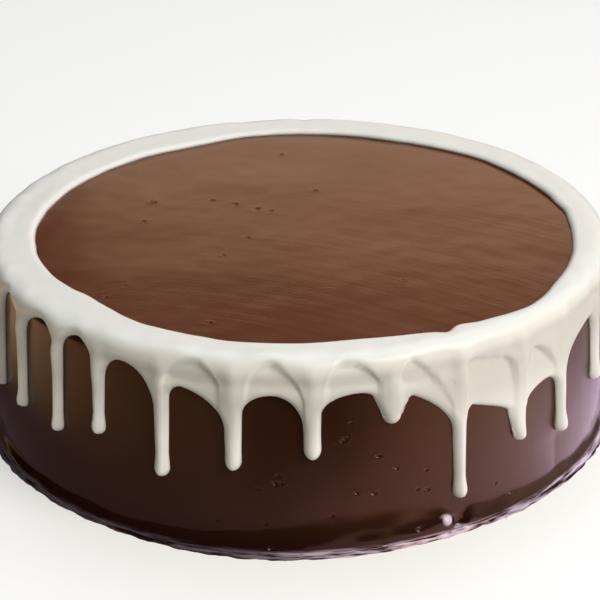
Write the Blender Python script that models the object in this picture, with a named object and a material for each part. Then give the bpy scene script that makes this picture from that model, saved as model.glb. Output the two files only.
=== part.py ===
"""A round chocolate cake under dark glaze, with white chocolate poured round its rim and run down the side.

Two solids: the glazed cake, whole and uncut, and the white chocolate that caps its edge.
The origin is the middle of the underside, +Z is up, and the side most looked at faces -Y.
Lengths are in millimetres until MM turns them into metres. An angle is in degrees, from -Y towards +X.
"""

import math
import random

import bmesh
import bpy
import numpy as np

MM = 0.001

# The glazed cake: a baked round that leans in a little towards the top
CAKE_HEIGHT = 68.5
BASE_RADIUS = 120.5
LEAN = math.atan(0.08)
SHOULDER_RADIUS = 6.0
CAKE_STEPS = 96
# The glaze thickens into a skirt at the bottom of the side, then lies out as a thin foot
SKIRT_SPREAD = 2.4
SKIRT_HEIGHT = 5.2
FOOT_SPREAD = 1.3
FOOT_HEIGHT = 0.8
# Where the skirt stands higher: (angle, half-width, extra height)
SKIRT_SWELLS = ((12, 21, 8.6), (118, 26, 5.0), (-140, 30, 4.0))
# Slow unevenness of the coat: (waves in a turn, size, phase in degrees)
WALL_WAVES = ((2, 0.30, 40), (3, 0.25, 170), (5, 0.15, 60))
FOOT_WAVES = ((4, 0.50, 0), (7, 0.35, 30))
TOP_WAVE = 0.15

# The white chocolate, measured off the glaze that it lies on
GLAZE_GAP = 0.3
SHOULDER_CLEARANCE = 0.3
RIM_THICKNESS = 2.2
LIP_WIDTH = 2.6
STREAM_EXTRA = 0.7
STREAM_WIDTH = 4.0
HOLLOW_DEPTH = 1.0
HOLLOW_RISE = 7.0
HOLLOW_HEIGHT = 5.0
BULB_EXTRA = 0.7

# Its inner edge on top: a circle set off centre, and where it wanders: (angle, half-width, shift)
INNER_RADIUS = 102.3
INNER_OFFSET = 5.0
INNER_OFFSET_ANGLE = 40
INNER_WANDER = ((-45, 12, -4.6), (-68, 12, -1.2), (9, 8, -2.8), (48, 10, 0.8), (112, 18, -2.3), (-143, 12, -1.0))

# Runs of the shown side: (angle, height of the tip, width of the stem, width of the bulb)
FRONT_RUNS = (
    (-54.6, 29.2, 4.8, 6.2),
    (-43.5, 27.8, 4.8, 6.4),
    (-34.2, 33.4, 5.0, 6.5),
    (-22.1, 24.3, 4.8, 6.2),
    (-10.3, 30.0, 5.6, 6.0),
    (2.2, 34.5, 5.8, 6.1),
    (14.8, 45.0, 6.4, 6.0),
    (26.6, 12.6, 4.6, 6.2),
    (39.1, 25.8, 6.4, 6.0),
    (50.2, 19.6, 4.4, 6.2),
    (64.9, 25.8, 4.8, 6.2),
)
# Arches between them, the first to the left of the first run: (angle, height, drop to its left,
# drop to its right, slant of its right side, where 0 is round and 1 is straight)
FRONT_ARCHES = (
    (-61.0, 65.6, 8.0, 8.0, 0),
    (-48.5, 65.2, 8.0, 5.0, 0),
    (-39.2, 65.4, 7.0, 9.0, 0),
    (-29.9, 62.3, 8.5, 14.0, 0),
    (-18.9, 57.6, 4.5, 13.0, 0.2),
    (-4.3, 57.0, 7.0, 12.0, 0),
    (9.6, 56.8, 6.5, 6.0, 0),
    (17.8, 53.6, 4.0, 15.0, 0.45),
    (29.4, 45.2, 8.0, 10.0, 1),
    (46.2, 43.3, 7.0, 6.0, 0),
    (61.6, 54.0, 13.0, 6.0, 0),
)
# The far side follows the same habits, drawn once from a fixed seed
BACK_RUNS = 20
BACK_SEED = 24

ARCH_COLUMNS = 3
STEM_COLUMNS = 4
RUN_COLUMNS = 2 * ARCH_COLUMNS + STEM_COLUMNS
TOP_ROWS = (0.0, 0.12, 0.4, 1.0)
SHOULDER_ROWS = 3
WALL_ROWS = (0.45, 0.8, 1.0)
STEM_ROWS = (0.14, 0.36, 0.62, 0.78, 0.9, 1.0)

GLAZE_COLOUR = (0.055, 0.019, 0.010)
WHITE_COLOUR = (0.80, 0.77, 0.68)

SHOULDER_LENGTH = SHOULDER_RADIUS * (math.pi / 2 - LEAN)
WALL_TOP = CAKE_HEIGHT - SHOULDER_RADIUS * (1 - math.sin(LEAN))
WALL_TOP_RADIUS = BASE_RADIUS - WALL_TOP * math.tan(LEAN)
FLAT_RADIUS = WALL_TOP_RADIUS - SHOULDER_RADIUS * math.cos(LEAN)


def clear_scene():
    for obj in list(bpy.data.objects):
        bpy.data.objects.remove(obj)


def waves(pattern, angle):
    return sum(size * math.cos(count * math.radians(angle) + math.radians(phase)) for count, size, phase in pattern)


def bump(distance, half_width):
    return math.exp(-((distance / half_width) ** 2))


def turn_between(angle, other):
    """The shorter way round from one angle to another, in degrees."""
    return (angle - other + 180) % 360 - 180


def skirt_height(angle):
    return SKIRT_HEIGHT + sum(extra * bump(turn_between(angle, at), half) for at, half, extra in SKIRT_SWELLS)


def foot(height, angle):
    """How far the pooled glaze stands out beyond the wall."""
    skirt = SKIRT_SPREAD * max(0.0, 1 - height / skirt_height(angle))
    return skirt + (FOOT_SPREAD + waves(FOOT_WAVES, angle)) * bump(height, FOOT_HEIGHT)


def top_height(radius, angle):
    return CAKE_HEIGHT + TOP_WAVE * math.cos(math.radians(2 * angle)) * math.sin(math.pi * radius / FLAT_RADIUS)


def on_cake(angle, path, lift):
    """A point above the glaze. path runs outward over the top, reaches 0 where the shoulder starts, and goes on down."""
    if path <= 0:
        radius = FLAT_RADIUS + path
        height = top_height(radius, angle) + lift
    else:
        lean = math.pi / 2 - min(path, SHOULDER_LENGTH) / SHOULDER_RADIUS
        down = max(0.0, path - SHOULDER_LENGTH)
        radius = FLAT_RADIUS + (SHOULDER_RADIUS + lift) * math.cos(lean) + down * math.sin(LEAN)
        height = CAKE_HEIGHT - SHOULDER_RADIUS + (SHOULDER_RADIUS + lift) * math.sin(lean) - down * math.cos(LEAN)
    radius += waves(WALL_WAVES, angle)
    turn = math.radians(angle)
    return (radius * math.sin(turn) * MM, -radius * math.cos(turn) * MM, height * MM)


def path_at(height):
    """The path down the side to a given height."""
    if height <= WALL_TOP:
        return SHOULDER_LENGTH + (WALL_TOP - height) / math.cos(LEAN)
    rise = (height - CAKE_HEIGHT + SHOULDER_RADIUS) / SHOULDER_RADIUS
    return SHOULDER_RADIUS * (math.pi / 2 - math.asin(rise))


def inner_path(angle):
    """Where the white chocolate ends on top of the cake, as a path from the shoulder."""
    radius = INNER_RADIUS + INNER_OFFSET * math.cos(math.radians(angle - INNER_OFFSET_ANGLE))
    radius += sum(shift * bump(turn_between(angle, at), half) for at, half, shift in INNER_WANDER)
    return radius - FLAT_RADIUS


def material(name, colour, roughness):
    made = bpy.data.materials.new(name)
    made.use_nodes = True
    shader = made.node_tree.nodes["Principled BSDF"]
    shader.inputs["Base Color"].default_value = (*colour, 1)
    shader.inputs["Roughness"].default_value = roughness
    shader.inputs["Metallic"].default_value = 0
    return made


def add_object(name, shape, finish):
    mesh = bpy.data.meshes.new(name)
    shape.to_mesh(mesh)
    shape.free()
    mesh.shade_smooth()
    mesh.materials.append(finish)
    obj = bpy.data.objects.new(name, mesh)
    bpy.context.scene.collection.objects.link(obj)
    return obj


def cake_rings():
    """The rings of the cake from the middle of the underside to the middle of the top, as (kind, measure)."""
    rings = [("under", 0), ("under", 1)]
    rings += [("foot", height) for height in (0.6, 1.4)]
    rings += [("skirt", share) for share in (0.5, 1.0)]
    rings += [("side", path_at(height)) for height in (26.0, 44.0, WALL_TOP)]
    rings += [("side", SHOULDER_LENGTH * step / 4) for step in (3, 2, 1, 0)]
    return rings + [("top", radius) for radius in (76.0, 38.0, 0.0)]


def build_cake(finish):
    """The section is spun round Z one ring to a row, then every ring takes its true size and the coat's unevenness."""
    rings = cake_rings()
    shape = bmesh.new()
    section = [shape.verts.new(((row + 1) * MM, 0, row * MM)) for row in range(len(rings))]
    edges = [shape.edges.new(pair) for pair in zip(section, section[1:])]
    bmesh.ops.spin(
        shape,
        geom=section + edges,
        axis=(0, 0, 1),
        cent=(0, 0, 0),
        angle=math.tau,
        steps=CAKE_STEPS,
        use_merge=True,
    )
    for vertex in shape.verts:
        row = round(vertex.co.z / MM)
        angle = math.degrees(math.atan2(vertex.co.x, -vertex.co.y))
        vertex.co = cake_point(*rings[row], angle)
    bmesh.ops.remove_doubles(shape, verts=shape.verts, dist=0.01 * MM)
    bmesh.ops.recalc_face_normals(shape, faces=shape.faces)
    return add_object("glazed_cake", shape, finish)


def cake_point(kind, measure, angle):
    """A point of a ring at an angle."""
    turn = math.radians(angle)
    if kind == "top":
        radius = measure + waves(WALL_WAVES, angle) * measure / FLAT_RADIUS
        return (radius * math.sin(turn) * MM, -radius * math.cos(turn) * MM, top_height(radius, angle) * MM)
    if kind == "side":
        return on_cake(angle, measure, 0)
    height = {"under": 0, "foot": measure, "skirt": measure * skirt_height(angle)}[kind]
    radius = BASE_RADIUS - height * math.tan(LEAN) + waves(WALL_WAVES, angle) + foot(height, angle)
    radius *= measure if kind == "under" else 1
    return (radius * math.sin(turn) * MM, -radius * math.cos(turn) * MM, height * MM)


def runs_and_arches():
    """Every run round the cake with the arch to its left, the shown side first and then on round the back."""
    drawn = random.Random(BACK_SEED)
    runs, arches = list(FRONT_RUNS), list(FRONT_ARCHES)
    first, last = FRONT_ARCHES[0][0] + 360, FRONT_RUNS[-1][0]
    spacing = (first - last) / (BACK_RUNS + 0.5)
    for step in range(1, BACK_RUNS + 1):
        angle = last + spacing * (step + drawn.uniform(-0.14, 0.14))
        height = 57 + 4 * math.cos(math.radians(angle * 2 - 20)) + drawn.uniform(-3, 3)
        apex = angle - spacing * drawn.uniform(0.42, 0.58)
        arches.append((apex, height, drawn.uniform(6, 11), drawn.uniform(6, 11), drawn.choice((0, 0, 0.3))))
        tip = drawn.choice((18, 24, 27, 31, 35, 38)) + drawn.uniform(-3, 3)
        stem = drawn.uniform(4.4, 5.8)
        runs.append((angle, tip, stem, max(stem + 0.4, drawn.uniform(5.9, 6.6))))
    return runs, arches


class Rim:
    """The outline of the white chocolate on the cake's skin, in columns that gather into the runs."""

    def __init__(self):
        self.runs, self.arches = runs_and_arches()
        self.count = len(self.runs)
        self.outline = self.sampled_outline()

    def cell(self, number):
        run = self.runs[number]
        left = self.arches[number]
        right = self.arches[(number + 1) % self.count]
        if number + 1 == self.count:
            right = (right[0] + 360, *right[1:])
        return run, left, right

    def neck(self, run, left, right, across):
        """Height at which the stem starts, from its left side (-1) to its right (1)."""
        share = (across + 1) / 2
        return (left[1] - left[3]) * (1 - share) + (right[1] - right[2]) * share

    def edge(self, number, column):
        """(angle, height) at which a column of the rim ends: on an arch, or at the neck of the run."""
        run, left, right = self.cell(number)
        half_stem = math.degrees(run[2] / 2 / WALL_TOP_RADIUS)
        if column <= ARCH_COLUMNS:
            swing = math.pi / 2 * column / ARCH_COLUMNS
            fall = (1 - left[4]) * (1 - math.cos(swing)) + left[4] * math.sin(swing)
            return left[0] + (run[0] - half_stem - left[0]) * math.sin(swing), left[1] - left[3] * fall
        if column >= RUN_COLUMNS - ARCH_COLUMNS:
            swing = math.pi / 2 * (RUN_COLUMNS - column) / ARCH_COLUMNS
            fall = 1 - math.cos(swing)
            return right[0] - (right[0] - run[0] - half_stem) * math.sin(swing), right[1] - right[2] * fall
        across = 2 * (column - ARCH_COLUMNS) / STEM_COLUMNS - 1
        return run[0] + half_stem * across, self.neck(run, left, right, across)

    def half_width(self, run, height):
        """Half the width of a run at a height, in millimetres: a stem that swells into its bulb."""
        widest = run[1] + run[3] / 2
        share = min(1.0, max(0.0, (widest + 1.6 * run[3] - height) / (1.6 * run[3])))
        return (run[2] + (run[3] - run[2]) * share * share * (3 - 2 * share)) / 2

    def stem_point(self, number, column, share):
        """(angle, height) on a run, share 0 at its neck and 1 on its round end."""
        run, left, right = self.cell(number)
        across = 2 * (column - ARCH_COLUMNS) / STEM_COLUMNS - 1
        bulb = run[3] / 2
        end = run[1] + bulb - bulb * math.cos(across * math.pi / 2)
        height = self.neck(run, left, right, across) * (1 - share) + end * share
        side = self.neck(run, left, right, math.copysign(1, across)) * (1 - share) + (run[1] + bulb) * share
        spread = across * (1 - share) + math.sin(across * math.pi / 2) * share
        reach = self.half_width(run, side) * spread
        return run[0] + math.degrees(reach / WALL_TOP_RADIUS), height

    def sampled_outline(self):
        """Points along the whole lower edge, as (millimetres round, path down)."""
        points = []
        fine = 24
        for number in range(self.count):
            for step in range(fine + 1):
                share = step / fine
                points.append(self.edge(number, ARCH_COLUMNS * share))
                points.append(self.edge(number, RUN_COLUMNS - ARCH_COLUMNS * share))
                points.append(self.stem_point(number, ARCH_COLUMNS, share))
                points.append(self.stem_point(number, ARCH_COLUMNS + STEM_COLUMNS, share))
                points.append(self.stem_point(number, ARCH_COLUMNS + STEM_COLUMNS * share, 1))
        return np.array([(self.round_length(angle), path_at(height)) for angle, height in points])

    def round_length(self, angle):
        return math.radians(angle) * WALL_TOP_RADIUS

    def edge_distance(self, angle, path):
        """How far a point of the rim is from its lower edge, along the skin."""
        whole = math.tau * WALL_TOP_RADIUS
        across = (self.outline[:, 0] - self.round_length(angle) + whole / 2) % whole - whole / 2
        return float(np.sqrt(across**2 + (self.outline[:, 1] - path) ** 2).min())

    def thickness(self, number, angle, path):
        """How thick the white chocolate is: a round lip at every edge, streams above the runs, hollows between."""
        run, left, right = self.cell(number)
        height = WALL_TOP - (path - SHOULDER_LENGTH) * math.cos(LEAN)
        on_side = min(1.0, max(0.0, path / SHOULDER_LENGTH))
        aside = math.radians(angle - run[0]) * WALL_TOP_RADIUS
        full = RIM_THICKNESS + STREAM_EXTRA * on_side * bump(aside, STREAM_WIDTH)
        full += BULB_EXTRA * bump(height - run[1] - run[3] / 2, run[3] * 0.7)
        for arch, reach in ((left, run[0] - left[0]), (right, right[0] - run[0])):
            over = math.radians(angle - arch[0]) * WALL_TOP_RADIUS
            half = math.radians(reach) * WALL_TOP_RADIUS * 0.62
            full -= HOLLOW_DEPTH * on_side * bump(over, half) * bump(height - arch[1] - HOLLOW_RISE, HOLLOW_HEIGHT)
        inner = path - inner_path(angle)
        near = min(self.edge_distance(angle, path), inner, LIP_WIDTH)
        return full * math.sqrt(max(0.0, 1 - (1 - near / LIP_WIDTH) ** 2))

    def band_position(self, number, column, rows, row):
        """(angle, path) of a grid point of the band, row 0 at the inner edge and the last on the lower edge."""
        end_angle, end_height = self.edge(number, column)
        run, left, right = self.cell(number)
        even_angle = left[0] + (right[0] - left[0]) * column / RUN_COLUMNS
        start, end = inner_path(even_angle), path_at(end_height)
        squeeze = min(1.0, (end - 1.2) / SHOULDER_LENGTH)
        kind, share = rows[row]
        if kind == "top":
            return even_angle, start * (1 - share)
        path = SHOULDER_LENGTH * squeeze * (share if kind == "shoulder" else 1)
        if kind == "wall":
            path += (end - path) * share
        # Every column stands upright from the crown of its arch down, so that none leaves the band
        across = min(1.0, max(0.0, (column - ARCH_COLUMNS) / STEM_COLUMNS))
        crown = path_at(left[1]) * (1 - across) + path_at(right[1]) * across
        share = min(1.0, max(0.0, path / crown))
        return even_angle + (end_angle - even_angle) * share * share * (3 - 2 * share), path


def band_rows(top_shares, wall_shares):
    rows = [("top", share) for share in top_shares]
    rows += [("shoulder", step / SHOULDER_ROWS) for step in range(1, SHOULDER_ROWS + 1)]
    return rows + [("wall", share) for share in wall_shares]


def sheet(shape, columns, rows, place):
    """A grid of columns by rows whose points are put where place(column, row) says, or cut where it says None."""
    half = max(columns, rows)
    made = bmesh.ops.create_grid(shape, x_segments=columns, y_segments=rows, size=half)["verts"]
    cut = []
    for vertex in made:
        column = round((vertex.co.x + half) / (2 * half) * columns)
        row = round((half - vertex.co.y) / (2 * half) * rows)
        spot = place(column, row)
        if spot is None:
            cut.append(vertex)
        else:
            vertex.co = spot
    bmesh.ops.delete(shape, geom=cut, context="VERTS")


def build_rim(finish):
    """The outer face and the face on the glaze are two sheets, welded along every edge and closed under the runs."""
    rim = Rim()
    columns = rim.count * RUN_COLUMNS
    outer_rows = band_rows(TOP_ROWS, WALL_ROWS)
    under_rows = band_rows((0.0, 1.0), (1.0,))
    band_end = len(outer_rows) - 1

    def cell_of(column):
        number = min(column // RUN_COLUMNS, rim.count - 1)
        return number, column - number * RUN_COLUMNS

    def outer(column, row):
        number, local = cell_of(column)
        if row <= band_end:
            angle, path = rim.band_position(number, local, outer_rows, row)
            on_edge = row == 0 or (row == band_end and not 0 < local - ARCH_COLUMNS < STEM_COLUMNS)
        elif ARCH_COLUMNS <= local <= ARCH_COLUMNS + STEM_COLUMNS:
            share = STEM_ROWS[row - band_end - 1]
            angle, height = rim.stem_point(number, local, share)
            path = path_at(height)
            on_edge = local in (ARCH_COLUMNS, ARCH_COLUMNS + STEM_COLUMNS) or share == 1.0
        else:
            return None
        lift = 0 if on_edge else rim.thickness(number, angle, path)
        return on_cake(angle, path, GLAZE_GAP + lift)

    def under(column, row):
        number, local = cell_of(column)
        angle, path = rim.band_position(number, local, under_rows, row)
        on_shoulder = under_rows[row][0] == "shoulder"
        return on_cake(angle, path, GLAZE_GAP + SHOULDER_CLEARANCE * on_shoulder)

    shape = bmesh.new()
    sheet(shape, columns, band_end + len(STEM_ROWS), outer)
    sheet(shape, columns, len(under_rows) - 1, under)
    bmesh.ops.remove_doubles(shape, verts=shape.verts, dist=0.01 * MM)
    open_edges = [edge for edge in shape.edges if edge.is_boundary]
    bmesh.ops.holes_fill(shape, edges=open_edges, sides=0)
    bmesh.ops.recalc_face_normals(shape, faces=shape.faces)
    return add_object("white_chocolate_rim", shape, finish)


clear_scene()
build_cake(material("dark_glaze", GLAZE_COLOUR, 0.28))
build_rim(material("white_chocolate", WHITE_COLOUR, 0.35))
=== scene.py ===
"""A round chocolate cake: dark glaze all over, and white chocolate poured round its rim and run down its side.

Sizes are in millimetres until MM turns them into metres. Angles are in degrees, from -Y, the side most looked
at, towards +X. A path is measured along the glaze in the plane of the axis: it reaches 0 where the flat top
turns into the round shoulder, and goes on down the side.
"""

import math
import random

import bmesh
import bpy
import numpy as np
from mathutils import Matrix, Vector, kdtree, noise


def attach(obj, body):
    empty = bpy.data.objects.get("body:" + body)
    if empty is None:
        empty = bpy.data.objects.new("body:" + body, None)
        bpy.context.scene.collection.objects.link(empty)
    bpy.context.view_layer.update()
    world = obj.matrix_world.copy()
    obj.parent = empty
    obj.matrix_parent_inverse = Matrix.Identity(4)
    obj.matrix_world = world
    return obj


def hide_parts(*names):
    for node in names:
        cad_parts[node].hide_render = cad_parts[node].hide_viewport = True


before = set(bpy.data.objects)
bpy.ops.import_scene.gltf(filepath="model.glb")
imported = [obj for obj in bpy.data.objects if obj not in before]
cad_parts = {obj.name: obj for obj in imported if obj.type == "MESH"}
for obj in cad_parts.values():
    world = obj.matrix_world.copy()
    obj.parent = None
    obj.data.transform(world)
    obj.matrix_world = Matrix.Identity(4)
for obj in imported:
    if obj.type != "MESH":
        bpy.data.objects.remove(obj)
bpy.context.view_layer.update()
bpy.ops.object.select_all(action="DESELECT")


# The cake: a baked round that leans in towards the top, coated all over with dark chocolate glaze that was
# smoothed with a palette knife. The glaze thickens into a skirt low on the side and lies out as a thin
# wrinkled foot. Burst air bubbles have left pits in it.
MM = 0.001
CAKE_HEIGHT = 68.5
BASE_RADIUS = 120.5
LEAN = math.atan(0.08)
SHOULDER_RADIUS = 6.0
SHOULDER_LENGTH = SHOULDER_RADIUS * (math.pi / 2 - LEAN)
WALL_TOP = CAKE_HEIGHT - SHOULDER_RADIUS * (1 - math.sin(LEAN))
WALL_TOP_RADIUS = BASE_RADIUS - WALL_TOP * math.tan(LEAN)
FLAT_RADIUS = WALL_TOP_RADIUS - SHOULDER_RADIUS * math.cos(LEAN)
TOP_EDGE_RADIUS = BASE_RADIUS - CAKE_HEIGHT * math.tan(LEAN)

# The glaze in numbers: the skirt and where it stands higher as (angle, half-width, extra height), the foot's
# film, the fold, the place where the skirt pulls in below the long drip, and the slow unevenness of the coat
# as (waves in a turn, size, phase)
SKIRT_SPREAD, SKIRT_HEIGHT = 2.4, 5.2
SKIRT_SWELLS = ((12, 21, 8.6), (118, 26, 5.0), (-140, 30, 4.0))
FOOT_SPREAD, FILM_HEIGHT = 1.4, 1.3
FOLD_ANGLE, FOLD_DEPTH, FOLD_WIDTH, FOLD_TOP = 49.5, 0.55, 3, 22
PULL_ANGLE, PULL_DEPTH, PULL_WIDTH, LOWEST_SKIRT = 26.2, 9, 1.5, 1.5
WALL_WAVES = ((2, 0.30, 40), (3, 0.25, 170), (5, 0.15, 60))
FOOT_WAVES = ((4, 0.50, 0), (7, 0.35, 30))
TOP_WAVE, BROAD_SWELL, NARROW_SWELL = 0.15, 0.18, 0.06
BLISTER_ANGLE, BLISTER_HEIGHT, BLISTER_WIDTH, BLISTER_LIFT = 24.2, 5.6, 2.6, 1.5
# Pits in the side as (angle, height, width, depth), and in the top as (angle, radius, width, depth). Those in
# the side are then widened and deepened a little.
SIDE_PITS = (
    (7.2, 40.9, 1.3, 0.5), (6.8, 40.1, 1.0, 0.4), (8.2, 46.4, 0.9, 0.3), (12.6, 33.4, 1.1, 0.4),
    (15.5, 28.4, 1.1, 0.4), (20.8, 25.3, 0.9, 0.3), (20.8, 18.1, 1.3, 0.4), (19.3, 18.9, 1.0, 0.3),
    (9.0, 20.9, 1.1, 0.4), (11.7, 20.0, 1.2, 0.5), (-3.8, 25.5, 1.4, 0.5), (-3.3, 28.4, 1.2, 0.4),
    (-2.9, 25.6, 1.1, 0.4), (-6.5, 23.5, 1.0, 0.3), (-5.3, 10.6, 1.0, 0.3), (5.1, 13.2, 1.0, 0.3),
    (-4.6, 2.6, 1.1, 0.4), (-13.1, 10.5, 1.0, 0.3), (19.0, 4.5, 1.0, 0.3), (13.4, 1.8, 1.0, 0.3),
    (36.9, 6.5, 1.0, 0.3), (34.1, 12.3, 0.9, 0.3), (24.4, 1.0, 1.0, 0.3),
)
SIDE_PIT_WIDENED, SIDE_PIT_DEEPENED = 1.5, 1.2
TOP_PITS = (
    (-109.7, 60.6, 1.6, 0.5), (-91, 58.9, 1.2, 0.3), (-48.3, 24.6, 1.4, 0.4), (-40.1, 41.5, 1.3, 0.4),
    (-18.9, 91.1, 1.6, 0.6), (34.3, 66.4, 1.1, 0.3), (9.3, 63.2, 1.1, 0.3), (1.4, 71.7, 1.0, 0.3),
    (166.3, 31.5, 1.3, 0.4), (-175.2, 72.9, 1.2, 0.3), (-45.1, 93.7, 1.1, 0.3), (-46.4, 83.3, 1.0, 0.3),
    (-123, 40.2, 1.7, 0.3), (-125.7, 30, 1.8, 0.3), (-128.5, 19.4, 1.8, 0.3), (-134.5, 14.1, 1.5, 0.3),
)
HIDDEN_PITS, PIT_SEED, PIT_REACH = 46, 5, 2.4
# How finely the mesh is cut: round the cake, over the shoulder, up the side and in the low zone of skirt and
# film
ROUND_STEPS, SHOULDER_STEPS, SIDE_CUTS, LOW_CUTS, LOW_HEIGHT, TOP_SPAN = 640, 8, 44, 19, 8.0, 160


def waves(pattern, angle):
    return sum(size * np.cos(np.radians(count * angle + phase)) for count, size, phase in pattern)


def bump(distance, half_width):
    return np.exp(-((distance / half_width) ** 2))


def turn_between(angle, other):
    """The shorter way round from one angle to another."""
    return (angle - other + 180) % 360 - 180


def smooth_step(share):
    share = np.clip(share, 0, 1)
    return share * share * (3 - 2 * share)


def skirt_height(angle):
    return SKIRT_HEIGHT + sum(extra * bump(turn_between(angle, at), half) for at, half, extra in SKIRT_SWELLS)


def top_height(radius, angle):
    return CAKE_HEIGHT + TOP_WAVE * np.cos(np.radians(2 * angle)) * np.sin(math.pi * radius / FLAT_RADIUS)


def edit(obj, select_mode):
    """Opens a mesh for editing with nothing selected, and gives its bmesh."""
    bpy.context.view_layer.objects.active = obj
    bpy.ops.object.mode_set(mode="EDIT")
    bpy.context.tool_settings.mesh_select_mode = [select_mode == mode for mode in ("VERT", "EDGE", "FACE")]
    bpy.ops.mesh.select_all(action="DESELECT")
    return bmesh.from_edit_mesh(obj.data)


def pick(obj, parts, wanted):
    """Selects those vertices, edges or faces for which wanted(part) holds."""
    for part in parts:
        part.select = bool(wanted(part))
    bmesh.update_edit_mesh(obj.data)


def read_points(obj):
    points = np.empty(len(obj.data.vertices) * 3)
    obj.data.vertices.foreach_get("co", points)
    return points.reshape(-1, 3) / MM


def write_points(obj, points):
    obj.data.vertices.foreach_set("co", (np.asarray(points) * MM).ravel())
    obj.data.update()


def middle(edge):
    return (edge.verts[0].co + edge.verts[1].co) / 2 / MM


def upright_length(edge):
    return abs(edge.verts[0].co.z - edge.verts[1].co.z) / MM


bpy.ops.mesh.primitive_cylinder_add(
    vertices=ROUND_STEPS, radius=BASE_RADIUS * MM, depth=CAKE_HEIGHT * MM,
    location=(0, 0, CAKE_HEIGHT / 2 * MM), end_fill_type="NGON",
)
cake = bpy.context.object
cake.name = cake.data.name = "cake_under_dark_glaze"
bpy.ops.object.transform_apply(location=True)

shape = edit(cake, "FACE")
pick(cake, shape.faces, lambda face: face.normal.z > 0.9)
narrowing = TOP_EDGE_RADIUS / BASE_RADIUS
bpy.ops.transform.resize(value=(narrowing, narrowing, 1), center_override=(0, 0, CAKE_HEIGHT * MM))
bpy.ops.object.mode_set(mode="OBJECT")
shape = edit(cake, "EDGE")
pick(cake, shape.edges, lambda edge: middle(edge).z > CAKE_HEIGHT - 0.1)
bpy.ops.mesh.bevel(
    offset=SHOULDER_RADIUS * math.tan((math.pi / 2 - LEAN) / 2) * MM, offset_type="OFFSET",
    segments=SHOULDER_STEPS, affect="EDGES",
)
bpy.ops.mesh.select_all(action="SELECT")
bpy.ops.mesh.bisect(plane_co=(0, 0, LOW_HEIGHT * MM), plane_no=(0, 0, 1))
bpy.ops.object.mode_set(mode="OBJECT")
for cuts, low, high in ((LOW_CUTS, 0, LOW_HEIGHT), (SIDE_CUTS, LOW_HEIGHT, WALL_TOP)):
    shape = edit(cake, "EDGE")
    pick(
        cake, shape.edges,
        lambda edge: upright_length(edge) > 0.9 * (high - low) and low < middle(edge).z < high,
    )
    bpy.ops.mesh.subdivide(number_cuts=cuts)
    bpy.ops.object.mode_set(mode="OBJECT")
shape = edit(cake, "FACE")
pick(cake, shape.faces, lambda face: face.normal.z > 0.9 and len(face.verts) > 4)
bpy.ops.mesh.delete(type="ONLY_FACE")
bpy.ops.object.mode_set(mode="OBJECT")
shape = edit(cake, "EDGE")
pick(cake, shape.edges, lambda edge: edge.is_boundary)
bpy.ops.mesh.fill_grid(span=TOP_SPAN)
bpy.ops.object.mode_set(mode="OBJECT")


def on_circle(angle, radius, height):
    turn = math.radians(angle)
    return Vector((radius * math.sin(turn), -radius * math.cos(turn), height))


def on_side(angle, height):
    return on_circle(angle, BASE_RADIUS - height * math.tan(LEAN), height)


BLISTER = on_circle(BLISTER_ANGLE, BASE_RADIUS, BLISTER_HEIGHT)
BLISTER_TOP = on_circle(BLISTER_ANGLE, BASE_RADIUS + 2.2, BLISTER_HEIGHT + 0.6)
pits = [
    (on_side(angle, height), SIDE_PIT_WIDENED * width, SIDE_PIT_DEEPENED * depth)
    for angle, height, width, depth in SIDE_PITS
]
pits += [(on_circle(angle, radius, CAKE_HEIGHT), width, depth) for angle, radius, width, depth in TOP_PITS]
chance = random.Random(PIT_SEED)
for _ in range(HIDDEN_PITS):
    height = chance.uniform(4, 44)
    spot = on_side(chance.uniform(70, 290), height)
    pits.append((spot, chance.uniform(0.9, 1.5), chance.uniform(0.3, 0.5)))
pit_tree = kdtree.KDTree(len(pits))
for number, (spot, width, depth) in enumerate(pits):
    pit_tree.insert(spot, number)
pit_tree.balance()

shape = edit(cake, "FACE")
pick(
    cake, shape.faces,
    lambda face: face.normal.z > -0.5 and pit_tree.find(face.calc_center_median() / MM)[2] < PIT_REACH,
)
bpy.ops.mesh.subdivide(number_cuts=3)
bpy.ops.object.mode_set(mode="OBJECT")


def wrinkles(spot, size):
    return noise.noise(Vector(spot) / size)


def pit_lift(spot):
    """The pit nearest to a spot: a hollow with a ragged outline and a faint raised rim."""
    place, number, distance = pit_tree.find(spot)
    width, depth = pits[number][1:]
    offset = spot - place
    offset.z *= 1.7
    away = offset.length * (1 + 0.6 * noise.noise(spot / 0.9 + place))
    return 0.12 * depth * bump(away - width, 0.4 * width) - depth * bump(away, 0.45 * width)


def blister_lift(spot):
    offset = spot - BLISTER
    offset.z *= 1.5
    return BLISTER_LIFT * bump(offset.length, BLISTER_WIDTH)


def skirt_spread(x, y, z, angle):
    """How far the pooled glaze stands out low on the side."""
    top = skirt_height(angle) + 1.4 * wrinkles((x, y, 0), 14)
    top = max(LOWEST_SKIRT, top - PULL_DEPTH * bump(turn_between(angle, PULL_ANGLE), PULL_WIDTH))
    pooled = SKIRT_SPREAD * smooth_step(1 - z / top) ** 0.8
    return pooled + 0.30 * wrinkles((x, y, 3 * z), 11) * smooth_step((top - z) / 4)


def film_spread(x, y, z, angle):
    """How far the thin film at the foot lies out, with its wrinkles."""
    film = smooth_step((FILM_HEIGHT - z) / FILM_HEIGHT)
    reach = FOOT_SPREAD + waves(FOOT_WAVES, angle)
    reach += 0.8 * wrinkles((x, y, 0), 7) + 0.4 * wrinkles((x, y, 5), 2.6)
    return max(0.2, reach) * film + 0.35 * wrinkles((x, y, 4 * z), 2.2) * film * smooth_step(z / 0.4)


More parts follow.
